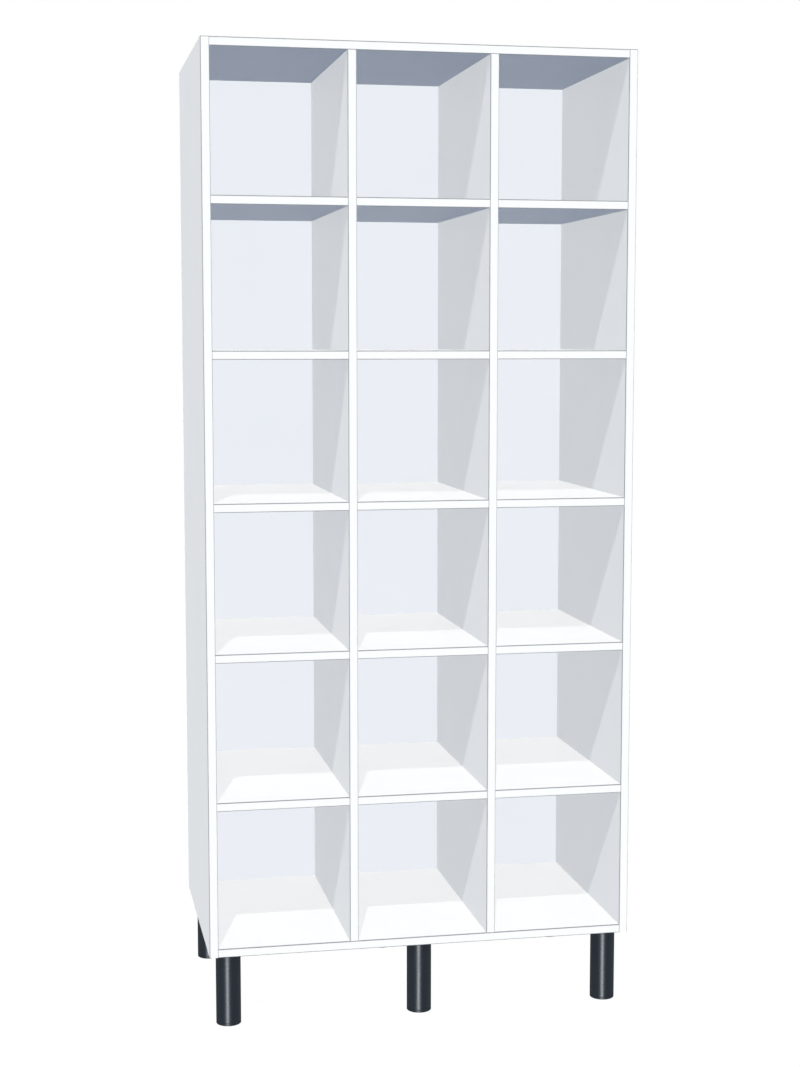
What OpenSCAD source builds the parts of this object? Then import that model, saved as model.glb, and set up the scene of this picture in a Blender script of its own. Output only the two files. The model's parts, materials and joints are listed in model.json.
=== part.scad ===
// Open-front locker unit: three columns of six open compartments in white faced
// board, standing on six round black steel legs with levelling feet.
// The origin is on the floor under the middle of the unit. The open front faces -Y.

/* [Compartments] */
// Clear width of one compartment
bay_w = 276; // [220:1:400]
// Clear height of one compartment
bay_h = 290; // [200:1:400]
// Compartments in each column
rows = 6; // [3:1:7]

/* [Carcass] */
// Thickness of the sides, dividers, shelves, top and bottom
board_t = 18; // [16:1:25]
// Depth of the unit from its front face to its rear edges
depth = 520; // [380:1:600]
// Thickness of the edge band on the front edges
band_t = 2; // [1:0.5:3]
// Radius on the two front corners of the edge band
band_r = 1; // [0.5:0.1:1]

/* [Back panel] */
// Thickness of the back panel
back_t = 6; // [4:0.5:10]
// Distance from the rear edges to the back panel
back_setback = 19; // [12:1:40]
// Depth of the groove that holds the back panel
groove_depth = 8; // [5:0.5:9]
// Free play of the back panel in the thickness of its groove
groove_play = 0.2; // [0.1:0.1:0.6]
// Free play of the back panel at the bottom of its groove
groove_end_play = 0.5; // [0.2:0.1:1]

/* [Dowels] */
// Diameter of the dowels
dowel_d = 8; // [6:1:10]
// Length of a dowel that joins two boards
dowel_len = 30; // [25:1:40]
// Length of that dowel that sits in the face of a board
dowel_in_face = 12; // [8:1:13]
// Dowels along each joint
dowels_per_joint = 3; // [2:1:4]
// Distance from the front and from the back panel to the nearest dowel
dowel_inset = 60; // [45:1:75]
// Gap between a dowel and the wall of its hole
dowel_fit = 0.1; // [0.05:0.05:0.3]
// Space for glue at the end of each dowel
glue_space = 1; // [0.5:0.5:2]
// Chamfer on the ends of a dowel
dowel_chamfer = 1; // [0.5:0.5:1.5]

/* [Back screws] */
// Shank diameter of the screws through the back panel
back_screw_d = 3.5; // [3:0.5:4]
// Length of those screws
back_screw_len = 25; // [20:1:35]

/* [Leg plate screws] */
// Shank diameter of the screws through a leg plate
leg_screw_d = 4.5; // [3.5:0.5:5]
// Length of those screws
leg_screw_len = 12; // [10:1:12]
// Distance between neighbouring screws along the plate
leg_screw_pitch = 32; // [26:1:34]
// Distance from the far edges of the plate to the screws
leg_screw_edge = 16; // [12:1:20]

/* [Screws] */
// Head diameter of a screw as a multiple of its shank diameter
head_ratio = 2; // [1.8:0.1:2.2]
// Gap between a screw and its hole
screw_fit = 0.1; // [0.05:0.05:0.3]
// Width of the cross recess in a screw's head
recess_w = 1; // [0.6:0.1:1.2]
// Depth of that recess, which is as long as the shank is thick
recess_depth = 1.2; // [0.8:0.1:1.4]

/* [Legs] */
// Height from the floor to the underside of the carcass
leg_h = 154; // [110:1:220]
// Outer diameter of the leg tube
leg_d = 52; // [42:1:54]
// Wall of the leg tube
tube_wall = 1.5; // [1:0.1:3]
// Distance from the leg axis to the nearest outer faces of the carcass
leg_inset = 42; // [38:1:60]
// Side of the square mounting plate
plate_w = 100; // [95:1:120]
// Thickness of the mounting plate
plate_t = 3; // [2.5:0.5:3.5]
// Distance from the leg axis to the two near edges of its plate
plate_near = 32; // [30:1:36]
// Corner radius of the mounting plate
plate_r = 8; // [4:1:12]
// Leg of the weld between tube and plate
weld = 2.5; // [1.5:0.5:4]

/* [Threaded insert] */
// Height of the insert pressed into the foot of the tube
insert_h = 20; // [16:1:30]
// Distance from the end of the tube up to the insert
insert_recess = 8; // [7.5:0.5:12]
// Wall of the insert's skirt
insert_skirt = 3; // [2:0.5:5]
// Thickness of the web between skirt and hub
insert_web = 4; // [3:0.5:8]
// Outer diameter of the insert's hub
insert_hub_d = 20; // [16:1:30]
// Gap between insert and tube
insert_fit = 0.05; // [0.02:0.01:0.1]

/* [Levelling foot] */
// Thread diameter of the levelling stud
stud_d = 10; // [8:1:12]
// Gap between the stud and the thread that guides it
thread_fit = 0.05; // [0.02:0.01:0.1]
// Travel of the levelling foot
foot_travel = 15; // [5:1:20]
// Width across the flats of the stud's hexagon
hex_af = 17; // [15:1:19]
// Height of the stud's hexagon
hex_h = 5; // [4:0.5:6]
// Chamfer on the upper end of the stud
stud_chamfer = 1; // [0.5:0.1:1.5]
// Diameter of the foot pad
pad_d = 52; // [42:1:60]
// Height of the foot pad
pad_h = 6; // [6:0.5:10]
// Rounding of the foot pad's rims
pad_r = 1; // [0.5:0.1:1.5]
// Gap between the pad and the leg tube when the foot is screwed home
pad_gap = 0.3; // [0.2:0.1:1]
// Floor of the pad under the stud
pad_floor = 2; // [1.5:0.5:3]
// Lip of the pad that snaps over the stud's collar
pad_lip = 1; // [0.8:0.1:1.5]
// Diameter of the stud's collar inside the pad
collar_d = 17.4; // [14:0.2:22]
// Running gap between the pad and the stud
swivel_gap = 0.1; // [0.05:0.05:0.3]

/* [Hidden] */
columns = ["left", "middle", "right"];
sides = ["left", "right"];
shelf_rows = [1 : rows - 1];
leg_spots = ["front_left", "front_middle", "front_right", "rear_left", "rear_middle", "rear_right"];

// Overall sizes of the carcass
pitch_x = bay_w + board_t;
pitch_z = bay_h + board_t;
inner_w = len(columns) * bay_w + (len(columns) - 1) * board_t;
carcass_w = inner_w + 2 * board_t;
inner_h = rows * bay_h + (rows - 1) * board_t;
carcass_h = inner_h + 2 * board_t;

// Planes across the depth
front_y = -depth / 2;
board_y = front_y + band_t;
rear_y = depth / 2;
back_y = rear_y - back_setback - back_t;
outer_board_d = rear_y - board_y;
inner_board_d = back_y - board_y;

// Reach of the back panel's groove and of the panel in it
groove_w = back_t + groove_play;
panel_reach = groove_depth - groove_end_play;

// Dowels and their holes
dowel_in_end = dowel_len - dowel_in_face;
through_dowel_len = board_t + 2 * dowel_in_end;
dowel_hole_r = dowel_d / 2 + dowel_fit;
first_dowel_y = front_y + dowel_inset;
dowel_pitch = (back_y - dowel_inset - first_dowel_y) / (dowels_per_joint - 1);
dowel_ys = [for (k = [0 : dowels_per_joint - 1]) first_dowel_y + k * dowel_pitch];

// Screws of the leg plates: an L of holes clear of the tube, from the leg axis
plate_far = plate_w - plate_near;
screw_row = plate_far - leg_screw_edge;
leg_screw_spots = [
    [screw_row - 2 * leg_screw_pitch, screw_row],
    [screw_row - leg_screw_pitch, screw_row],
    [screw_row, screw_row],
    [screw_row, screw_row - leg_screw_pitch],
    [screw_row, screw_row - 2 * leg_screw_pitch]
];

// Levels of the leg and its foot above the floor
leg_r = leg_d / 2;
tube_r = leg_r - tube_wall;
tube_z = pad_h + pad_gap;
plate_z = leg_h - plate_t;
insert_z = tube_z + insert_recess;
collar_z = pad_floor + swivel_gap;
collar_h = pad_h - pad_lip - swivel_gap - collar_z;
neck_d = stud_d;
hex_z = pad_h + swivel_gap;
stud_top = insert_z + insert_h + foot_travel;

// How far a cut starts outside the face that it opens
cut_over = 1;

// Facets of round pieces
fn_fine = 96;
fn_small = 32;

function board_x(i) = -carcass_w / 2 + i * pitch_x;
function board_z(j) = leg_h + j * pitch_z;
function shelf_name(i, j) = str("shelf_", columns[i], "_", j);
function leg_x(spot) = [-1, 0, 1][spot % 3] * (carcass_w / 2 - leg_inset);
function leg_y(spot) = [-1, 1][floor(spot / 3)] * (depth / 2 - leg_inset);
// Turn that sends a plate's long sides inwards, in quarter turns
function leg_turn(spot) = [0, 0, 1, 3, 2, 2][spot] * 90;

// A square outline with rounded corners, its lower left corner at the origin
module rounded_outline(w, d, r) {
    translate([r, 0]) square([w - 2 * r, d]);
    translate([0, r]) square([w, d - 2 * r]);
    for (x = [r, w - r], y = [r, d - r]) translate([x, y]) circle(r, $fn = fn_small);
}

// The section of an edge band: square at the board, rounded at the front
module band_outline() {
    translate([0, band_r]) square([board_t, band_t - band_r]);
    translate([band_r, 0]) square([board_t - 2 * band_r, band_t]);
    for (x = [band_r, board_t - band_r]) translate([x, band_r]) circle(band_r, $fn = fn_small);
}

// An edge band on a board whose lower left front corner is given
module upright_band(x, z, length) {
    translate([x, front_y, z]) linear_extrude(length) band_outline();
}

module level_band(x, z, length) {
    translate([x, front_y, z + board_t]) rotate([0, 90, 0]) linear_extrude(length) band_outline();
}

// A plain hole along +X
module rod_x(r, length) {
    rotate([0, 90, 0]) cylinder(h = length, r = r, $fn = fn_small);
}

// A dowel along +Z with chamfered ends
module dowel(length) {
    tip_r = dowel_d / 2 - dowel_chamfer;
    rotate_extrude($fn = fn_small) polygon([
        [0, 0], [tip_r, 0], [dowel_d / 2, dowel_chamfer],
        [dowel_d / 2, length - dowel_chamfer], [tip_r, length], [0, length]
    ]);
}

// A countersunk screw along +Z, its flat head at z = 0, with a point and a cross recess
module screw(d, length) {
    head_r = d * head_ratio / 2;
    head_h = head_r - d / 2;
    point_h = d;
    difference() {
        rotate_extrude($fn = fn_small) polygon([
            [0, 0], [head_r, 0], [d / 2, head_h], [d / 2, length - point_h], [0, length]
        ]);
        for (turn = [0, 90]) rotate([0, 0, turn])
            translate([-d / 2, -recess_w / 2, -cut_over]) cube([d, recess_w, recess_depth + cut_over]);
    }
}

// The hole for such a screw, through whatever it passes
module screw_hole(d, length) {
    head_r = d * head_ratio / 2 + screw_fit;
    hole_r = d / 2 + screw_fit;
    rotate_extrude($fn = fn_small) polygon([
        [0, -cut_over], [head_r, -cut_over], [head_r, 0], [hole_r, head_r - hole_r],
        [hole_r, length], [0, length]
    ]);
}

// Where two boards meet, the holes run this far past the joint into the end
module end_holes_x(x, z, direction) {
    reach = dowel_in_end + glue_space;
    for (y = dowel_ys)
        translate([direction > 0 ? x : x - reach, y, z]) rod_x(dowel_hole_r, reach);
}

module face_holes_x(x, z, direction) {
    reach = dowel_in_face + glue_space;
    for (y = dowel_ys)
        translate([direction > 0 ? x : x - reach, y, z]) rod_x(dowel_hole_r, reach);
}

module holes_z(x, z, reach) {
    for (y = dowel_ys) translate([x, y, z]) cylinder(h = reach, r = dowel_hole_r, $fn = fn_small);
}

// The screws of the back panel: one in each divider for every compartment, one in each shelf
module at_back_screws() {
    for (i = [1 : len(columns) - 1], j = [0 : rows - 1])
        translate([board_x(i) + board_t / 2, back_y + back_t, board_z(j) + board_t + bay_h / 2])
            rotate([90, 0, 0]) children();
    for (i = [0 : len(columns) - 1], j = shelf_rows)
        translate([board_x(i) + board_t + bay_w / 2, back_y + back_t, board_z(j) + board_t / 2])
            rotate([90, 0, 0]) children();
}

module side(s) {
    x = board_x(s * len(columns));
    inner_x = x + (1 - s) * board_t;
    groove_x = s == 0 ? inner_x - groove_depth : inner_x - cut_over;
    color("white") difference() {
        translate([x, board_y, leg_h]) cube([board_t, outer_board_d, carcass_h]);
        translate([groove_x, back_y, leg_h + board_t - groove_depth])
            cube([groove_depth + cut_over, groove_w, inner_h + 2 * groove_depth]);
        for (j = [0 : rows]) face_holes_x(inner_x, board_z(j) + board_t / 2, s == 0 ? -1 : 1);
    }
}

// The top panel is level number `rows`, the bottom panel is level 0
module end_panel(level) {
    z = board_z(level);
    inner_z = level == 0 ? z + board_t : z;
    groove_z = level == 0 ? inner_z - groove_depth : inner_z - cut_over;
    hole_reach = dowel_in_face + glue_space;
    color("white") difference() {
        translate([-inner_w / 2, board_y, z]) cube([inner_w, outer_board_d, board_t]);
        translate([-inner_w / 2 - cut_over, back_y, groove_z])
            cube([inner_w + 2 * cut_over, groove_w, groove_depth + cut_over]);
        end_holes_x(-inner_w / 2, z + board_t / 2, 1);
        end_holes_x(inner_w / 2, z + board_t / 2, -1);
        for (i = [1 : len(columns) - 1])
            holes_z(board_x(i) + board_t / 2, level == 0 ? inner_z - hole_reach : inner_z, hole_reach);
    }
}

module bottom_panel() {
    difference() {
        end_panel(0);
        for (spot = [0 : len(leg_spots) - 1]) at_leg_screws(spot) screw_hole(leg_screw_d, leg_screw_len);
    }
}

module top_panel() {
    end_panel(rows);
}

module divider(s) {
    x = board_x(s + 1);
    reach = dowel_in_end + glue_space;
    color("white") difference() {
        translate([x, board_y, leg_h + board_t]) cube([board_t, inner_board_d, inner_h]);
        for (j = shelf_rows, y = dowel_ys)
            translate([x - cut_over, y, board_z(j) + board_t / 2])
                rod_x(dowel_hole_r, board_t + 2 * cut_over);
        holes_z(x + board_t / 2, leg_h + board_t, reach);
        holes_z(x + board_t / 2, leg_h + board_t + inner_h - reach, reach);
        at_back_screws() screw_hole(back_screw_d, back_screw_len);
    }
}

module shelf(i, j) {
    x = board_x(i) + board_t;
    z = board_z(j);
    color("white") difference() {
        translate([x, board_y, z]) cube([bay_w, inner_board_d, board_t]);
        end_holes_x(x, z + board_t / 2, 1);
        end_holes_x(x + bay_w, z + board_t / 2, -1);
        translate([x + bay_w / 2, back_y + back_t, z + board_t / 2])
            rotate([90, 0, 0]) screw_hole(back_screw_d, back_screw_len);
    }
}

module back_panel() {
    color("ghostwhite") difference() {
        translate([-inner_w / 2 - panel_reach, back_y, leg_h + board_t - panel_reach])
            cube([inner_w + 2 * panel_reach, back_t, inner_h + 2 * panel_reach]);
        at_back_screws() screw_hole(back_screw_d, back_screw_len);
    }
}

module edge_bands_sides() {
    color("white") for (i = [0, len(columns)]) upright_band(board_x(i), leg_h, carcass_h);
}

module edge_bands_top_bottom() {
    color("white") for (j = [0, rows]) level_band(-inner_w / 2, board_z(j), inner_w);
}

module edge_bands_dividers() {
    color("white") for (i = [1 : len(columns) - 1]) upright_band(board_x(i), leg_h + board_t, inner_h);
}

module edge_bands_shelves() {
    color("white") for (i = [0 : len(columns) - 1], j = shelf_rows)
        level_band(board_x(i) + board_t, board_z(j), bay_w);
}

// Dowels that end in a face: sides to every level, dividers to top and bottom
module end_dowels() {
    color("burlywood") {
        for (y = dowel_ys, j = [0 : rows]) {
            z = board_z(j) + board_t / 2;
            translate([-inner_w / 2 - dowel_in_face, y, z]) rotate([0, 90, 0]) dowel(dowel_len);
            translate([inner_w / 2 + dowel_in_face, y, z]) rotate([0, -90, 0]) dowel(dowel_len);
        }
        for (y = dowel_ys, i = [1 : len(columns) - 1]) {
            x = board_x(i) + board_t / 2;
            translate([x, y, leg_h + board_t - dowel_in_face]) dowel(dowel_len);
            translate([x, y, leg_h + board_t + inner_h - dowel_in_end]) dowel(dowel_len);
        }
    }
}

// Dowels that pass through a divider and carry the shelves on both sides of it
module through_dowels() {
    color("burlywood") for (i = [1 : len(columns) - 1], j = shelf_rows, y = dowel_ys)
        translate([board_x(i) - dowel_in_end, y, board_z(j) + board_t / 2])
            rotate([0, 90, 0]) dowel(through_dowel_len);
}

module back_screws() {
    color("silver") at_back_screws() screw(back_screw_d, back_screw_len);
}

// Moves its children from the leg's own axis on the floor to one of the six legs
module at_leg(spot) {
    translate([leg_x(spot), leg_y(spot), 0]) rotate([0, 0, leg_turn(spot)]) children();
}

module at_leg_screws(spot) {
    at_leg(spot) for (p = leg_screw_spots) translate([p[0], p[1], plate_z]) children();
}

module leg_plate_screws() {
    color("silver") for (spot = [0 : len(leg_spots) - 1])
        at_leg_screws(spot) screw(leg_screw_d, leg_screw_len);
}

// The plate reaches further inwards than outwards, and the tube is welded under it
module leg(spot) {
    leg_top = plate_z + plate_t / 2;
    color([0.16, 0.18, 0.2]) at_leg(spot) difference() {
        union() {
            translate([-plate_near, -plate_near, plate_z])
                linear_extrude(plate_t) rounded_outline(plate_w, plate_w, plate_r);
            rotate_extrude($fn = fn_fine) polygon([
                [tube_r, tube_z], [leg_r, tube_z], [leg_r, plate_z - weld],
                [leg_r + weld, plate_z], [leg_r + weld, leg_top], [tube_r, leg_top]
            ]);
        }
        for (p = leg_screw_spots) translate([p[0], p[1], plate_z]) screw_hole(leg_screw_d, leg_screw_len);
    }
}

// A cup with a hub: the skirt grips the tube and the hub holds the stud's thread
module threaded_insert(spot) {
    skirt_r = tube_r - insert_fit;
    hub_r = insert_hub_d / 2;
    bore_r = stud_d / 2 + thread_fit;
    color([0.1, 0.1, 0.1]) at_leg(spot) translate([0, 0, insert_z]) rotate_extrude($fn = fn_fine) polygon([
        [bore_r, 0], [skirt_r, 0], [skirt_r, insert_h], [skirt_r - insert_skirt, insert_h],
        [skirt_r - insert_skirt, insert_web], [hub_r, insert_web], [hub_r, insert_h], [bore_r, insert_h]
    ]);
}

// The stud: a collar that turns in the pad, a hexagon for a spanner and the thread
module levelling_stud(spot) {
    thread_h = stud_top - hex_z;
    color("silver") at_leg(spot) {
        translate([0, 0, collar_z]) cylinder(h = collar_h, d = collar_d, $fn = fn_fine);
        translate([0, 0, collar_z]) cylinder(h = hex_z + hex_h - collar_z, d = neck_d, $fn = fn_fine);
        translate([0, 0, hex_z]) cylinder(h = hex_h, d = hex_af / cos(30), $fn = 6);
        translate([0, 0, hex_z]) rotate_extrude($fn = fn_fine) polygon([
            [0, 0], [stud_d / 2, 0], [stud_d / 2, thread_h - stud_chamfer],
            [stud_d / 2 - stud_chamfer, thread_h], [0, thread_h]
        ]);
    }
}

// The pad: a disc with rounded rims and a socket whose lip snaps over the collar
module foot_pad(spot) {
    pad_rim = pad_d / 2;
    socket_r = collar_d / 2 + swivel_gap;
    mouth_r = neck_d / 2 + swivel_gap;
    color([0.12, 0.12, 0.13]) at_leg(spot) rotate_extrude($fn = fn_fine) difference() {
        union() {
            square([pad_rim - pad_r, pad_h]);
            translate([0, pad_r]) square([pad_rim, pad_h - 2 * pad_r]);
            for (z = [pad_r, pad_h - pad_r]) translate([pad_rim - pad_r, z]) circle(pad_r, $fn = fn_small);
        }
        translate([0, pad_floor]) square([socket_r, pad_h - pad_lip - pad_floor]);
        translate([0, pad_floor]) square([mouth_r, pad_h]);
    }
}

for (s = [0, 1]) side(s);
top_panel();
bottom_panel();
for (s = [0, 1]) divider(s);
for (i = [0 : len(columns) - 1], j = shelf_rows) shelf(i, j);
back_panel();
edge_bands_sides();
edge_bands_top_bottom();
edge_bands_dividers();
edge_bands_shelves();
end_dowels();
through_dowels();
back_screws();
leg_plate_screws();
for (n = [0 : len(leg_spots) - 1]) {
    leg(n);
    threaded_insert(n);
    levelling_stud(n);
    foot_pad(n);
}
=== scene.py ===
"""An open-front locker unit in white faced board on round black legs, dressed around its CAD frame."""

import json
import math

import bpy
from mathutils import Matrix, Vector


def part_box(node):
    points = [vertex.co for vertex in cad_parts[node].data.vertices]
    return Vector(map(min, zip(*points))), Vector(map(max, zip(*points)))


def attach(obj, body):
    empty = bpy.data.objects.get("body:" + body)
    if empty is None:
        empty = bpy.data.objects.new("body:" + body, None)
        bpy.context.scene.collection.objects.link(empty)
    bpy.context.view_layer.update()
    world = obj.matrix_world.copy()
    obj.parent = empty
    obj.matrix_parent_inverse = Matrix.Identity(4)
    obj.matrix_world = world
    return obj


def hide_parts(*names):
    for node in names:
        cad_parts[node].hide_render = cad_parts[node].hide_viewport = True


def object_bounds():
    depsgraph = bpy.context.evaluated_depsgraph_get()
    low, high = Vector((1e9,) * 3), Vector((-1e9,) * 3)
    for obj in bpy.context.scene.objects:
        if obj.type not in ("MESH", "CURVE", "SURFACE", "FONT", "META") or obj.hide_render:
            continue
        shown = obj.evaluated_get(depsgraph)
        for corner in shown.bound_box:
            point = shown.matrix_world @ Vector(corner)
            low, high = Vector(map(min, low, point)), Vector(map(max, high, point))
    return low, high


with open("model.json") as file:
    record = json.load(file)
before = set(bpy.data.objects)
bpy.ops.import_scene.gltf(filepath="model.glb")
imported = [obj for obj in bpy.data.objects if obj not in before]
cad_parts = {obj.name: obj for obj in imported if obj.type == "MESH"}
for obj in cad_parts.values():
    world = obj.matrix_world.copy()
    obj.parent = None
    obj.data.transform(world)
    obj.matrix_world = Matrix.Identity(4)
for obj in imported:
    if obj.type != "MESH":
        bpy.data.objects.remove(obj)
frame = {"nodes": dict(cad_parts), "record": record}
cad_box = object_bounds()
nodes = frame["nodes"]
scene = bpy.context.scene

# The carcass, in metres: boards, steps between compartments, and planes for the finishes and screws
WIDTH, LEG_H, BOARD_T = 0.9, 0.154, 0.018
COLUMNS, ROWS = 3, 6
PITCH_X, PITCH_Z = 0.294, 0.308
CARCASS_TOP = cad_box[1][2]
BAND_REAR_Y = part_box("edge_bands_sides")[1].y
BACK_REAR_Y = 0.241

# The legs, their welded plates, which stand at quarter turns, and how far the plates' screws are from the
# leg's axis
LEG_XS, LEG_YS, LEG_R = (-0.408, 0.0, 0.408), (-0.218, 0.218), 0.026
PLATE_T, WELD = 0.003, 0.0025
PLATE_TURNS = (0, 0, 1, 3, 2, 2)
NEAR, HALFWAY, FAR = -0.012, 0.02, 0.052
PLATE_SCREW_SPOTS = ((NEAR, FAR), (HALFWAY, FAR), (FAR, FAR), (FAR, HALFWAY), (FAR, NEAR))
LEG_PLACES = [(x, y) for y in LEG_YS for x in LEG_XS]
SPOTS = [f"{row}_{column}" for row in ("front", "rear") for column in ("left", "middle", "right")]

# The levelling stud: heights above the floor, radii, and the hexagon's width across its flats
COLLAR_Z, COLLAR_H, COLLAR_R = 0.0021, 0.0028, 0.0087
HEX_Z, HEX_H, HEX_AF = 0.0061, 0.005, 0.017
HEX_CHAMFER_R = 0.475 * HEX_AF
STUD_R, STUD_TOP, STUD_CHAMFER = 0.005, 0.0493, 0.001
STUD_THREAD_Z, NECK_TOP = HEX_Z + 0.0005, HEX_Z + 0.001

# Threads: how far from the crest's middle the crest ends and the root starts, and the depth, in pitches
CREST_END, ROOT_START, THREAD_DEPTH = 0.06, 0.42, 0.6
THREAD_SIDES = 24

# Cross recess: radii of its wedge in screw radii, its depth in head heights, how narrow its arms are, and
# how far it starts outside the head, in metres
RECESS_WIDE, RECESS_DEEP, RECESS_DEPTH, RECESS_ARM = 1.35, 0.4, 0.85, 0.3
RECESS_START = 0.00002

# Weld bead: its radius and its way out of the corner of tube and plate, its ripples, how thin it is
# between two of them, and its faces
BEAD_R, BEAD_OUT, BEAD_RIPPLES, BEAD_THIN = 0.6 * WELD, 0.4 * WELD, 60, 0.9
BEAD_AROUND, BEAD_ALONG = 10, 240

# Points of a skin that are closer than this are one point
SAME_POINT = 1e-6

# Where most of a noise lies between 0 and 1
NOISE_SPAN = (0.3, 0.7)

# Gloss of the black parts. It comes as faces turn up from straight down, and goes as they turn edge on
BLACK_GLOSS = 0.16
DOWN_SPAN, EDGE_SPAN = (-0.9, -0.6), (0.25, 0.75)

# Grey lines of the edge bands: painted shade along the arrises and at the upper ends of the sides, and a
# dark glue line at the bands' rear. The share of a line's width that is fully grey, and how far below the
# upper ends of the sides, and in front of the bands' rear, a line starts and is full
LINE_FULL = 0.8
END_LINE, END_LINE_FULL = 0.0012, 0.001
GLUE_LINE, GLUE_LINE_FULL = 0.00064, 0.00024


class Graph:
    """A node tree. A value is set on the socket of that name, and a socket or a list of them is linked."""

    def __init__(self, tree):
        self.tree, self.nodes, self.links = tree, tree.nodes, tree.links

    def add(self, kind, values=(), **properties):
        node = self.nodes.new(kind)
        for key, value in properties.items():
            setattr(node, key, value)
        for key, value in dict(values).items():
            for given in value if isinstance(value, list) else [value]:
                if isinstance(given, bpy.types.NodeSocket):
                    self.links.new(given, node.inputs[key])
                else:
                    node.inputs[key].default_value = given
        return node

    def math(self, operation, a, b=0.0):
        return self.add("ShaderNodeMath", {0: a, 1: b}, operation=operation).outputs["Value"]

    def plus(self, a, b):
        return self.math("ADD", a, b)

    def minus(self, a, b):
        return self.math("SUBTRACT", a, b)

    def times(self, a, b):
        return self.math("MULTIPLY", a, b)

    def over(self, a, b):
        return self.math("DIVIDE", a, b)

    def ramp(self, value, low, high, to_low=0.0, to_high=1.0):
        values = {"Value": value, "From Min": low, "From Max": high, "To Min": to_low, "To Max": to_high}
        return self.add("ShaderNodeMapRange", values).outputs["Result"]

    def vector(self, **parts):
        return self.add("ShaderNodeCombineXYZ", parts).outputs["Vector"]

    def split(self, vector):
        return self.add("ShaderNodeSeparateXYZ", {"Vector": vector}).outputs


class Finish(Graph):
    """A material with its node tree. Its calls give back the output that carries the pattern."""

    def __init__(self, name, **shine):
        self.material = bpy.data.materials.new(name)
        self.material.use_nodes = True
        super().__init__(self.material.node_tree)
        self.shader = self.nodes["Principled BSDF"]
        self.place = self.add("ShaderNodeTexCoord").outputs["Object"]
        for socket, value in shine.items():
            self.shader.inputs[socket.replace("_", " ")].default_value = value

    def noise(self, per_metre, detail, stretch=(1, 1, 1)):
        """Noise on the object's own coordinates, with each axis scaled for grain and drawn lines."""
        place = self.add("ShaderNodeMapping", {"Vector": self.place, "Scale": stretch}).outputs["Vector"]
        values = {"Vector": place, "Scale": per_metre, "Detail": detail}
        return self.add("ShaderNodeTexNoise", values).outputs["Fac"]

    def spread(self, pattern, to_low=0.0, to_high=1.0):
        """A noise drawn out to the full range."""
        return self.ramp(pattern, *NOISE_SPAN, to_low, to_high)

    def cells(self, per_metre):
        values = {"Vector": self.place, "Scale": per_metre}
        return self.add("ShaderNodeTexVoronoi", values).outputs["Distance"]

    def axis(self, letter):
        return self.split(self.place)[letter]

    def mix(self, share, a, b):
        """Colour a where the share is 0, and colour b where it is 1."""
        node = self.add("ShaderNodeMix", data_type="RGBA")
        sockets = {socket.identifier: socket for socket in node.inputs}
        for key, value in {"Factor_Float": share, "A_Color": a, "B_Color": b}.items():
            if isinstance(value, bpy.types.NodeSocket):
                self.links.new(value, sockets[key])
            else:
                sockets[key].default_value = (*value, 1.0)
        return next(socket for socket in node.outputs if socket.identifier == "Result_Color")

    def black_gloss(self):
        """Gloss that fades towards the outline, so that the edges of the legs stay dark, and that spares
        faces that look down, because the low lamp would turn them white from behind."""
        up = self.split(self.add("ShaderNodeNewGeometry").outputs["Normal"])["Z"]
        edge_on = self.add("ShaderNodeLayerWeight").outputs["Facing"]
        level = self.times(
            self.ramp(up, *DOWN_SPAN, 0.0, BLACK_GLOSS), self.ramp(edge_on, *EDGE_SPAN, 1.0, 0.0))
        self.links.new(level, self.shader.inputs["Specular IOR Level"])

    def paint(self, colour, roughness, relief, depth, strength=1.0):
        """Joins the patterns to the shader. The relief stands depth metres proud."""
        bump = self.add("ShaderNodeBump", {"Height": relief, "Distance": depth, "Strength": strength})
        patterns = {"Base Color": colour, "Roughness": roughness, "Normal": bump.outputs["Normal"]}
        for socket, pattern in patterns.items():
            self.links.new(pattern, self.shader.inputs[socket])
        return self.material


def faced_board(name, low, high):
    """White melamine facing: faint clouding, a pearl grain under a millimetre, and a satin sheen."""
    board = Finish(name, Specular_IOR_Level=0.1)
    clouds = board.spread(board.noise(6, detail=3))
    sheen = board.spread(board.noise(45, detail=4), 0.48, 0.56)
    pearl = board.plus(board.noise(900, detail=3), board.cells(650))
    return board.paint(board.mix(clouds, low, high), sheen, pearl, depth=0.00002, strength=0.6)


def banded_edge(name, letter, start, pitch, line_low, line_high):
    """Plastic edge band: a white face, a grey line of painted shade along each arris, and a dark line
    drawn by the glue.

    Bands lie across the axis of that letter, one for every pitch. The painted shade lines differ in width
    at their two edges, and the upper ends of the sides have a painted shade line too.
    """
    band = Finish(name, Specular_IOR_Level=0.35)
    white_low, white_high = (0.918, 0.928, 0.912), (0.931, 0.939, 0.924)
    arris_shade_grey, glue_grey = (0.24, 0.255, 0.27), (0.22, 0.24, 0.27)
    edge = BOARD_T / 2

    turns = band.math("FRACT", band.over(band.minus(band.axis(letter), start), pitch))
    across = band.minus(band.times(turns, pitch), edge)
    # Painted shade: grey lines along both arrises of each band and at the upper ends of the sides
    low_line = band.ramp(across, line_low - edge, LINE_FULL * line_low - edge)
    high_line = band.ramp(across, edge - line_high, edge - LINE_FULL * line_high)
    end_line = band.ramp(band.axis("Z"), CARCASS_TOP - END_LINE, CARCASS_TOP - END_LINE_FULL)
    arris_shade = band.math("MAXIMUM", band.math("MAXIMUM", low_line, high_line), end_line)
    glue = band.ramp(band.axis("Y"), BAND_REAR_Y - GLUE_LINE, BAND_REAR_Y - GLUE_LINE_FULL)

    drawn = band.noise(260, detail=3, stretch=(1, 1, 0.06))
    face = band.mix(band.spread(drawn), white_low, white_high)
    colour = band.mix(glue, band.mix(arris_shade, face, arris_shade_grey), glue_grey)
    return band.paint(colour, band.spread(drawn, 0.38, 0.5), drawn, depth=0.00001, strength=0.5)


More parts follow.
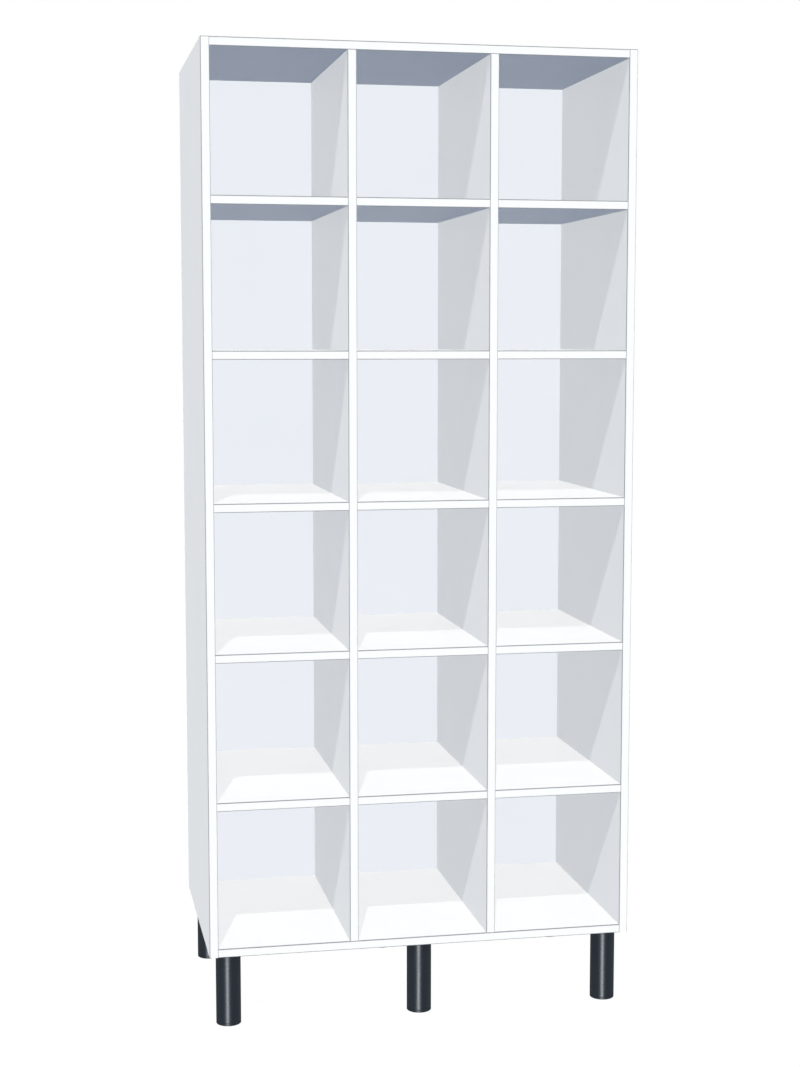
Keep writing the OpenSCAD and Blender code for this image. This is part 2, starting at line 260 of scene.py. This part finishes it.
def powder_coat(name):
    """Black powder coat on steel: fine orange peel, and dust dulling the gloss in soft patches."""
    coat = Finish(name)
    coat.black_gloss()
    peel = coat.noise(1500, detail=2)
    dust = coat.ramp(coat.noise(18, detail=3), 0.35, 0.7)
    colour = coat.mix(dust, (0.0101, 0.0145, 0.02), (0.0116, 0.016, 0.022))
    return coat.paint(colour, coat.ramp(dust, 0, 1, 0.35, 0.38), peel, depth=0.00002, strength=0.5)


def moulded_nylon(name, base):
    """Moulded black nylon: a fine spark-eroded grain and slightly paler, rubbed patches."""
    nylon = Finish(name)
    nylon.black_gloss()
    grain = nylon.cells(1800)
    rubbed = nylon.ramp(nylon.noise(70, detail=4), 0.45, 0.8)
    paler = tuple(1.7 * level for level in base)
    sheen = nylon.ramp(rubbed, 0, 1, 0.42, 0.36)
    return nylon.paint(nylon.mix(rubbed, base, paler), sheen, grain, depth=0.00003, strength=0.5)


def zinc_plate(name):
    """Bright zinc plate: cool and warm patches of passivation and faint turning marks."""
    zinc = Finish(name, Metallic=1.0)
    tint = zinc.ramp(zinc.noise(160, detail=3), 0.35, 0.65)
    turned = zinc.noise(2200, detail=2, stretch=(0.2, 0.2, 1))
    colour = zinc.mix(tint, (0.62, 0.64, 0.66), (0.72, 0.71, 0.66))
    return zinc.paint(colour, zinc.spread(turned, 0.24, 0.4), turned, depth=0.00001, strength=0.5)


def beech(name):
    """Beech dowel: long grain with short dark flecks."""
    wood = Finish(name)
    grain = wood.noise(420, detail=4, stretch=(0.08, 1, 1))
    flecks = wood.ramp(wood.noise(1500, detail=2, stretch=(0.2, 1, 1)), 0.6, 0.75)
    tone = wood.mix(wood.spread(grain), (0.62, 0.42, 0.24), (0.76, 0.56, 0.36))
    colour = wood.mix(flecks, tone, (0.42, 0.25, 0.13))
    return wood.paint(colour, wood.spread(grain, 0.5, 0.68), grain, depth=0.00005)


FINISHES = {
    "white_board": faced_board("white_board", (0.868, 0.872, 0.878), (0.882, 0.885, 0.890)),
    # The back board is bluer than the white board. That tint is painted shade, the cool shade that lies on
    # the back panel
    "back_board": faced_board("back_board", (0.866, 0.891, 0.920), (0.880, 0.905, 0.934)),
    "edge_band": banded_edge("edge_band", "Z", LEG_H, PITCH_Z, line_low=0.0015, line_high=0.002),
    "upright_edge_band": banded_edge(
        "upright_edge_band", "X", -WIDTH / 2, PITCH_X, line_low=0.0014, line_high=0.0011),
    "beech_dowel": beech("beech_dowel"),
    "zinc_screw": zinc_plate("zinc_screw"),
    "black_steel": powder_coat("black_steel"),
    "black_nylon": moulded_nylon("black_nylon", (0.009, 0.010, 0.011)),
    "zinc_stud": zinc_plate("zinc_stud"),
    "foot_nylon": moulded_nylon("foot_nylon", (0.0085, 0.0125, 0.0175)),
}
for part in frame["record"]["subparts"]:
    mesh = nodes[part["node"]].data
    mesh.materials.clear()
    upright = part["node"] in ("edge_bands_sides", "edge_bands_dividers")
    mesh.materials.append(FINISHES["upright_edge_band" if upright else part["material_slot"]])


class Shape(Graph):
    """A Geometry Nodes tree whose named inputs are the sizes of a piece."""

    def __init__(self, name, *sizes):
        super().__init__(bpy.data.node_groups.new(name, "GeometryNodeTree"))
        for way in ("INPUT", "OUTPUT"):
            self.tree.interface.new_socket("Geometry", in_out=way, socket_type="NodeSocketGeometry")
        for size in sizes:
            self.tree.interface.new_socket(size, in_out="INPUT", socket_type="NodeSocketFloat")
        self.given = self.add("NodeGroupInput").outputs

    def form(self, kind, **sizes):
        """One of Blender's own mesh forms. A cylinder is centred, and a cone stands on the origin."""
        values = {key.replace("_", " "): value for key, value in sizes.items()}
        return self.add(f"GeometryNodeMesh{kind}", values).outputs["Mesh"]

    def moved(self, form, along=(0, 0, 0), turn=(0, 0, 0), scale=(1, 1, 1)):
        values = {"Geometry": form, "Translation": along, "Rotation": turn, "Scale": scale}
        return self.add("GeometryNodeTransform", values).outputs["Geometry"]

    def post(self, sides, radius, low, height):
        """An upright cylinder or prism that starts at the height low."""
        form = self.form("Cylinder", Vertices=sides, Radius=radius, Depth=height)
        return self.moved(form, (0, 0, low + height / 2))

    def joined(self, *forms):
        return self.add("GeometryNodeJoinGeometry", {"Geometry": list(forms)}).outputs["Geometry"]

    def common(self, *forms):
        values = {"Mesh 2": list(forms)}
        node = self.add("GeometryNodeMeshBoolean", values, operation="INTERSECT", solver="EXACT")
        return node.outputs["Mesh"]

    def cut(self, form, *tools):
        values = {"Mesh 1": form, "Mesh 2": list(tools)}
        node = self.add("GeometryNodeMeshBoolean", values, operation="DIFFERENCE", solver="EXACT")
        return node.outputs["Mesh"]

    def skin(self, around, along, place):
        """A closed smooth skin. place gives radius and height for the share of a turn and for the row."""
        rows = self.plus(along, 1)
        grid = self.form("Grid", Size_X=1, Size_Y=1, Vertices_X=around + 1, Vertices_Y=rows)
        flat = self.split(self.add("GeometryNodeInputPosition").outputs["Position"])
        share = self.plus(flat["X"], 0.5)
        row = self.times(self.plus(flat["Y"], 0.5), along)
        radius, height = place(share, row)
        angle = self.times(share, 2 * math.pi)
        x = self.times(radius, self.math("COSINE", angle))
        y = self.times(radius, self.math("SINE", angle))
        values = {"Geometry": grid, "Position": self.vector(X=x, Y=y, Z=height)}
        bent = self.add("GeometryNodeSetPosition", values).outputs["Geometry"]
        closed = self.add("GeometryNodeMergeByDistance", {"Geometry": bent, "Distance": SAME_POINT})
        return self.add("GeometryNodeSetShadeSmooth", {0: closed.outputs["Geometry"]}).outputs[0]

    def thread(self, radius, length, pitch, rows, tip, slope):
        """A rod up +Z with a helical thread, whose end narrows at the slope to the tip's radius.

        The first and the last row lie on the axis, and close the ends.
        """
        # Only the two rows that close the ends are further from the middle than this, in lengths
        half_way = 0.5001

        def place(share, row):
            inner = self.over(self.minus(row, 1), self.minus(rows, 2))
            height = self.times(self.ramp(inner, 0, 1), length)
            phase = self.math("FRACT", self.minus(self.over(height, pitch), share))
            flank = self.math("ABSOLUTE", self.minus(phase, 0.5))
            depth = self.times(pitch, THREAD_DEPTH)
            groove = self.times(self.ramp(flank, CREST_END, ROOT_START), depth)
            end = self.plus(tip, self.times(self.minus(length, height), slope))
            whole = self.math("MINIMUM", self.minus(radius, groove), end)
            inside = self.math("LESS_THAN", self.math("ABSOLUTE", self.minus(inner, 0.5)), half_way)
            return self.times(whole, inside), height
        return self.skin(THREAD_SIDES, rows, place)

    def set_on_points(self, form, finish, turn=(0, 0, 0)):
        """Sets the form on each point that the tree is given, and ends the tree."""
        points = {"Points": self.given["Geometry"], "Instance": form, "Rotation": turn}
        copies = self.add("GeometryNodeInstanceOnPoints", points).outputs["Instances"]
        real = self.add("GeometryNodeRealizeInstances", {"Geometry": copies}).outputs["Geometry"]
        done = self.add("GeometryNodeSetMaterial", {"Geometry": real, "Material": FINISHES[finish]})
        self.add("NodeGroupOutput", {"Geometry": done.outputs["Geometry"]})
        return self.tree


def levelling_stud():
    """A collar that turns in the pad, a hexagon with chamfered corners, and the thread."""
    stud = Shape("levelling_stud", "Radius", "Length", "Pitch", "Rows", "Turn")
    given = stud.given
    thread = stud.thread(
        given["Radius"], given["Length"], given["Pitch"], given["Rows"],
        tip=STUD_R - STUD_CHAMFER, slope=1.0)

    # Two cones at 30 degrees chamfer the corners, and a prism that stands out of them gives the flats
    stands_out = 0.0002
    prism = stud.post(6, HEX_AF / math.sqrt(3), HEX_Z - stands_out, HEX_H + 2 * stands_out)
    wide_r = HEX_CHAMFER_R + HEX_H * math.sqrt(3)
    cones = [
        stud.form("Cone", Vertices=72, Radius_Bottom=bottom, Radius_Top=top, Depth=HEX_H)
        for bottom, top in ((HEX_CHAMFER_R, wide_r), (wide_r, HEX_CHAMFER_R))]
    hexagon = stud.common(prism, *[stud.moved(cone, (0, 0, HEX_Z)) for cone in cones])

    neck = stud.post(48, STUD_R, COLLAR_Z, NECK_TOP - COLLAR_Z)
    collar = stud.post(64, COLLAR_R, COLLAR_Z, COLLAR_H)
    whole = stud.joined(stud.moved(thread, (0, 0, STUD_THREAD_Z)), hexagon, neck, collar)
    return stud.set_on_points(whole, "zinc_stud", stud.vector(Z=given["Turn"]))


def countersunk_screw():
    """A screw up +Z with its flat head at the bottom, a cross recess and a pointed thread."""
    screw = Shape("countersunk_screw", "Radius", "Head Radius", "Length", "Pitch", "Rows", "Tilt")
    given = screw.given
    radius, head_r = given["Radius"], given["Head Radius"]
    head_h = screw.minus(head_r, radius)
    head = screw.form("Cone", Vertices=40, Radius_Bottom=head_r, Radius_Top=radius, Depth=head_h)

    wedge = screw.form(
        "Cone", Vertices=4, Radius_Bottom=screw.times(radius, RECESS_WIDE),
        Radius_Top=screw.times(radius, RECESS_DEEP), Depth=screw.times(head_h, RECESS_DEPTH))
    square = screw.moved(wedge, (0, 0, -RECESS_START), (0, 0, math.pi / 4))
    arms = [screw.moved(square, scale=narrow) for narrow in ((1, RECESS_ARM, 1), (RECESS_ARM, 1, 1))]
    head = screw.cut(head, *arms)

    length = screw.minus(given["Length"], head_h)
    thread = screw.thread(radius, length, given["Pitch"], given["Rows"], tip=0.0, slope=0.5)
    whole = screw.joined(head, screw.moved(thread, screw.vector(Z=head_h)))
    return screw.set_on_points(whole, "zinc_screw", screw.vector(X=given["Tilt"]))


def weld_bead():
    """A bead with the ripples of a hand-run weld, round the top of a leg."""
    bead = Shape("weld_bead", "Ring Radius", "Bead Radius", "Ripples")
    given = bead.given

    def place(share, row):
        angle = bead.times(row, 2 * math.pi / BEAD_AROUND)
        wave = bead.math("SINE", bead.times(share, bead.times(given["Ripples"], 2 * math.pi)))
        thick = bead.times(given["Bead Radius"], bead.ramp(wave, -1, 1, BEAD_THIN, 1.0))
        out = bead.times(thick, bead.math("COSINE", angle))
        return bead.plus(given["Ring Radius"], out), bead.times(thick, bead.math("SINE", angle))
    return bead.set_on_points(bead.skin(BEAD_ALONG, BEAD_AROUND, place), "black_steel")


def grown(name, tree, places, body, finish, **sizes):
    """A piece made by the tree at each of the places, kept as a plain mesh that rides on its body."""
    base = bpy.data.meshes.new(name)
    base.from_pydata(places, [], [])
    piece = bpy.data.objects.new(name, base)
    scene.collection.objects.link(piece)
    maker = piece.modifiers.new("maker", "NODES")
    maker.node_group = tree
    for socket in tree.interface.items_tree:
        if socket.in_out == "INPUT" and socket.name.replace(" ", "_") in sizes:
            maker[socket.identifier] = float(sizes[socket.name.replace(" ", "_")])
    depsgraph = bpy.context.evaluated_depsgraph_get()
    mesh = bpy.data.meshes.new_from_object(piece.evaluated_get(depsgraph), depsgraph=depsgraph)
    piece.modifiers.remove(maker)
    piece.data = mesh
    mesh.name = name
    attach(piece, body)
    return piece


stud_tree = levelling_stud()
for spot, (x, y), turn in zip(SPOTS, LEG_PLACES, PLATE_TURNS):
    stud = grown(
        f"threaded_stud_{spot}", stud_tree, [(x, y, 0)], f"stud_{spot}", "zinc_stud",
        Radius=STUD_R, Length=STUD_TOP - STUD_THREAD_Z, Pitch=0.0015, Rows=232, Turn=turn * math.pi / 2)
    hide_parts(f"levelling_stud_{spot}")


def back_screw_places():
    """One screw behind each divider in every row, and one behind each shelf."""
    row_z = LEG_H + (BOARD_T + PITCH_Z) / 2
    shelf_z = LEG_H + PITCH_Z + BOARD_T / 2
    places = [
        (side * PITCH_X / 2, BACK_REAR_Y, row_z + row * PITCH_Z)
        for side in (-1, 1) for row in range(ROWS)]
    places += [
        ((column - COLUMNS // 2) * PITCH_X, BACK_REAR_Y, shelf_z + level * PITCH_Z)
        for column in range(COLUMNS) for level in range(ROWS - 1)]
    return places


def plate_screw_places():
    places = []
    for (x, y), turn in zip(LEG_PLACES, PLATE_TURNS):
        for across, along in PLATE_SCREW_SPOTS:
            for _ in range(turn):
                across, along = -along, across
            places.append((x + across, y + along, LEG_H - PLATE_T))
    return places


screw_tree = countersunk_screw()
screws = grown(
    "back_panel_screws", screw_tree, back_screw_places(), "locker", "zinc_screw",
    Radius=0.00175, Head_Radius=0.0035, Length=0.025, Pitch=0.0016, Rows=90, Tilt=math.pi / 2)
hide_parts("back_screws")
screws = grown(
    "plate_screws", screw_tree, plate_screw_places(), "locker", "zinc_screw",
    Radius=0.00225, Head_Radius=0.0045, Length=0.012, Pitch=0.0018, Rows=38, Tilt=0)
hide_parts("leg_plate_screws")

bead_places = [(x, y, LEG_H - PLATE_T - BEAD_OUT) for x, y in LEG_PLACES]
grown(
    "weld_beads", weld_bead(), bead_places, "locker", "black_steel",
    Ring_Radius=LEG_R + BEAD_OUT, Bead_Radius=BEAD_R, Ripples=BEAD_RIPPLES)

# How bright the white room looks in gloss. A little below 1 keeps the grazing edges of the black legs dark
GLOSS_ROOM = 0.75

# The floor: metres from its middle to its edges, how white it is, and how much of the shadow it shows
FLOOR_HALF, FLOOR_WHITE, FLOOR_SHADE = 30.0, 0.95, 0.1

# How far the card stands above the top face
CARD_GAP = 0.002


def room(graph):
    """Two values: 1 for a ray from the camera, gloss or glass and 0 for light, and how bright the room
    looks to that ray."""
    path = graph.add("ShaderNodeLightPath").outputs
    gloss = path["Is Glossy Ray"]
    plain = graph.math("MAXIMUM", path["Is Camera Ray"], path["Is Transmission Ray"])
    return graph.math("MAXIMUM", plain, gloss), graph.plus(graph.times(gloss, GLOSS_ROOM), plain)


def white_world():
    world = bpy.data.worlds.new("studio")
    world.use_nodes = True
    graph = Graph(world.node_tree)
    background = graph.nodes["Background"]
    background.inputs["Color"].default_value = (1, 1, 1, 1)
    graph.links.new(room(graph)[1], background.inputs["Strength"])
    return world


def flat_face(name, low, high, z):
    """A single face at the height z that looks up."""
    mesh = bpy.data.meshes.new(name)
    corners = [(low[0], low[1], z), (high[0], low[1], z), (high[0], high[1], z), (low[0], high[1], z)]
    mesh.from_pydata(corners, [], [(0, 1, 2, 3)])
    face = bpy.data.objects.new(name, mesh)
    scene.collection.objects.link(face)
    return face


def floor_paper():
    """White paper that shows a share of the shadow from above, and nothing from below."""
    paper = bpy.data.materials.new("floor_paper")
    paper.use_nodes = True
    graph = Graph(paper.node_tree)
    graph.nodes.clear()
    colour = (FLOOR_WHITE, FLOOR_WHITE, FLOOR_WHITE, 1)
    matt = graph.add("ShaderNodeBsdfDiffuse", {"Color": colour}).outputs["BSDF"]
    seen, level = room(graph)
    white = graph.add("ShaderNodeEmission", {"Strength": level}).outputs["Emission"]
    share = graph.times(seen, 1 - FLOOR_SHADE)
    above = graph.add("ShaderNodeMixShader", {0: share, 1: matt, 2: white}).outputs["Shader"]
    below = graph.add("ShaderNodeBsdfTransparent").outputs["BSDF"]
    from_below = graph.add("ShaderNodeNewGeometry").outputs["Backfacing"]
    whole = graph.add("ShaderNodeMixShader", {0: from_below, 1: above, 2: below}).outputs["Shader"]
    graph.add("ShaderNodeOutputMaterial", {"Surface": whole})
    return paper


def studio_floor():
    floor = flat_face("floor", (-FLOOR_HALF, -FLOOR_HALF), (FLOOR_HALF, FLOOR_HALF), 0)
    floor.data.materials.append(floor_paper())
    return floor


def top_card():
    """A card just above the unit that only the key lamps meet, so that they don't turn its top white."""
    card = flat_face("top_card", *cad_box, CARCASS_TOP + CARD_GAP)
    card.visible_camera = card.visible_diffuse = card.visible_glossy = card.visible_transmission = False
    return card


def lamp(name, travels, level, colour=(1, 1, 1), spread=0.0, shadow=True, lights=()):
    """A distant lamp. level is how bright it makes a pure white face that it meets squarely.

    At a level of 1 the face renders white. lights are the pieces that it shines on, if not on all.
    """
    light = bpy.data.lights.new(name, "SUN")
    light.energy, light.color = math.pi * level, colour
    light.angle, light.use_shadow = math.radians(spread), shadow
    holder = bpy.data.objects.new(name, light)
    holder.rotation_mode = "QUATERNION"
    holder.rotation_quaternion = Vector(travels).to_track_quat("-Z", "Y")
    scene.collection.objects.link(holder)
    if lights:
        lit = bpy.data.collections.new(f"lit_by_{name}")
        for piece in lights:
            lit.objects.link(piece)
        holder.light_linking.receiver_collection = lit
    return holder


# The key lamp stands high on the left and draws the lit patches on the floors. A second one from
# further left gives the walls the same patch, because the key only grazes them. Each value says how
# far the light travels, back or to the right, while it falls by 1
KEY_BACK, KEY_RIGHT, KEY_WALLS_RIGHT = 0.79, 0.213, 0.85
KEY_LEVEL, KEY_WALLS_LEVEL, KEY_SPREAD = 0.188, 0.16, 0.3
uprights = [nodes[name] for name in ("side_left", "side_right", "divider_left", "divider_right")]
lamp("key", (KEY_RIGHT, KEY_BACK, -1), KEY_LEVEL, spread=KEY_SPREAD)
lamp("key_walls", (KEY_WALLS_RIGHT, KEY_BACK, -1), KEY_WALLS_LEVEL, spread=KEY_SPREAD, lights=uprights)

# Soft fills along the axes, without shadows, keep the deep compartments as bright as the fronts. Pieces
# that have a lamp of their own miss the last lamp that lights everything, so a spare one of almost no
# strength ends the list. Each has the way that its light travels, its level and its colour
FILLS = {
    "front": ((0, 1, 0), 0.986, (0.963, 0.973, 1.0)),
    "left": ((1, 0, 0), 0.734, (0.925, 0.96, 1.0)),
    "right": ((-1, 0, 0), 0.72, (0.96, 0.98, 1.0)),
    "rear": ((0, -1, 0), 0.8, (0.96, 0.98, 1.0)),
    "top": ((0, 0, -1), 1.005, (0.997, 0.998, 1.0)),
    "below": ((0, 0, 1), 0.365, (0.658, 0.77, 1.0)),
    "spare": ((0, 1, 0), 0.0005, (1.0, 1.0, 1.0)),
}
for side, (travels, level, colour) in FILLS.items():
    lamp(f"fill_{side}", travels, level, colour, shadow=False).visible_glossy = False

# A low lamp draws the bright line down each leg. It shines up as steeply as the camera looks down
LOW_TRAVELS, LOW_LEVEL, LOW_COLOUR, LOW_SPREAD = (0.244, 0.911, 0.332), 2.05, (0.88, 0.94, 1.0), 18
BLACK_NAMES = ("leg_front", "leg_rear", "foot_pad")
black_parts = [piece for name, piece in nodes.items() if name.startswith(BLACK_NAMES)]
low = lamp("low", LOW_TRAVELS, LOW_LEVEL, LOW_COLOUR, LOW_SPREAD, shadow=False, lights=black_parts)
low.visible_diffuse = False
low.data.cycles.use_multiple_importance_sampling = False

scene.world = white_world()
floor = studio_floor()
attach(floor, "foot_front_left")
top_card()

# The photograph's camera, from a fit to the unit's straight edges: metres, radians and millimetres
CAMERA_PLACE = (-0.790, -3.9993, 1.4226)
CAMERA_YAW, CAMERA_PITCH = 0.1955, -0.1029
CAMERA_LENS, CAMERA_SENSOR = 62.77, 36.0
CAMERA_NEAR, CAMERA_FAR = 0.1, 200.0


def photo_camera():
    data = bpy.data.cameras.new("camera")
    data.lens, data.sensor_width = CAMERA_LENS, CAMERA_SENSOR
    data.clip_start, data.clip_end = CAMERA_NEAR, CAMERA_FAR
    yaw, pitch = CAMERA_YAW, CAMERA_PITCH
    ahead = Vector((math.sin(yaw) * math.cos(pitch), math.cos(yaw) * math.cos(pitch), math.sin(pitch)))
    right = Vector((math.cos(yaw), -math.sin(yaw), 0))
    turn = Matrix((right, right.cross(ahead), -ahead)).transposed().to_4x4()
    holder = bpy.data.objects.new("camera", data)
    holder.matrix_world = Matrix.Translation(CAMERA_PLACE) @ turn
    scene.collection.objects.link(holder)
    scene.camera = holder


photo_camera()

# The fills stand for the light that the boards pass on to each other, so none is bounced
scene.cycles.diffuse_bounces = 0
scene.view_settings.view_transform = "Standard"
